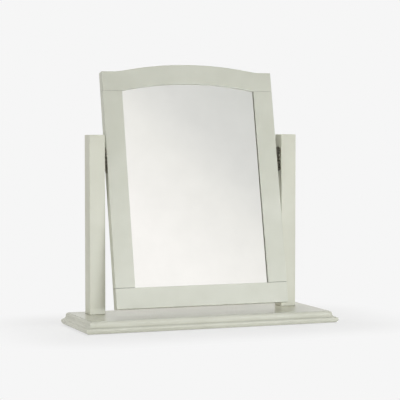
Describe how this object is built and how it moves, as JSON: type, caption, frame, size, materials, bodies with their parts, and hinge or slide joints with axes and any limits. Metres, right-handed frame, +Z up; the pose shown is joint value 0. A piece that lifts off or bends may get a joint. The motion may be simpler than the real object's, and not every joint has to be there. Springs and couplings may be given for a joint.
{
  "type": "dressing-table swing mirror",
  "caption": "Painted dressing-table mirror with an arched frame that tilts between square posts on a moulded base board.",
  "frame": {"origin": "on the table top, under the middle of the whole mirror as it stands at rest", "axes": "+X across to the viewer's right, +Y to the back (the glass faces -Y), +Z up"},
  "size_m": [0.652, 0.2236, 0.6416],
  "materials": {
    "painted_wood": "satin",
    "mirror_glass": "polished",
    "back_board": "matte",
    "antique_brass": "satin",
    "zinc_steel": "satin",
    "beech": "matte",
    "felt": "matte",
    "fibre_washer": "matte"
  },
  "bodies": {
    "stand": {"base_board": "painted_wood", "left_post": "painted_wood", "right_post": "painted_wood", "post_dowels": "beech", "felt_pads": "felt", "post_bolts": "zinc_steel", "post_bolt_washers": "zinc_steel", "post_inserts": "zinc_steel", "left_post_plate": "antique_brass", "left_post_plate_screws": "antique_brass", "left_pivot_bolt": "zinc_steel", "left_spring_washer": "zinc_steel", "left_lock_nut": "zinc_steel", "left_friction_washer": "fibre_washer", "right_post_plate": "antique_brass", "right_post_plate_screws": "antique_brass", "right_pivot_bolt": "zinc_steel", "right_spring_washer": "zinc_steel", "right_lock_nut": "zinc_steel", "right_friction_washer": "fibre_washer"},
    "mirror": {"top_rail": "painted_wood", "bottom_rail": "painted_wood", "left_stile": "painted_wood", "right_stile": "painted_wood", "frame_dowels": "beech", "mirror_glass": "mirror_glass", "top_bead": "beech", "bottom_bead": "beech", "left_bead": "beech", "right_bead": "beech", "back_panel": "back_board", "back_panel_screws": "zinc_steel", "left_frame_plate": "antique_brass", "left_frame_plate_screws": "antique_brass", "right_frame_plate": "antique_brass", "right_frame_plate_screws": "antique_brass"}
  },
  "joints": [
    {"name": "mirror_tilt", "type": "hinge", "parent": "stand", "child": "mirror", "pos_m": [0, 0.05316, 0.405], "axis": [1, 0, 0], "continuous": true}
  ]
}
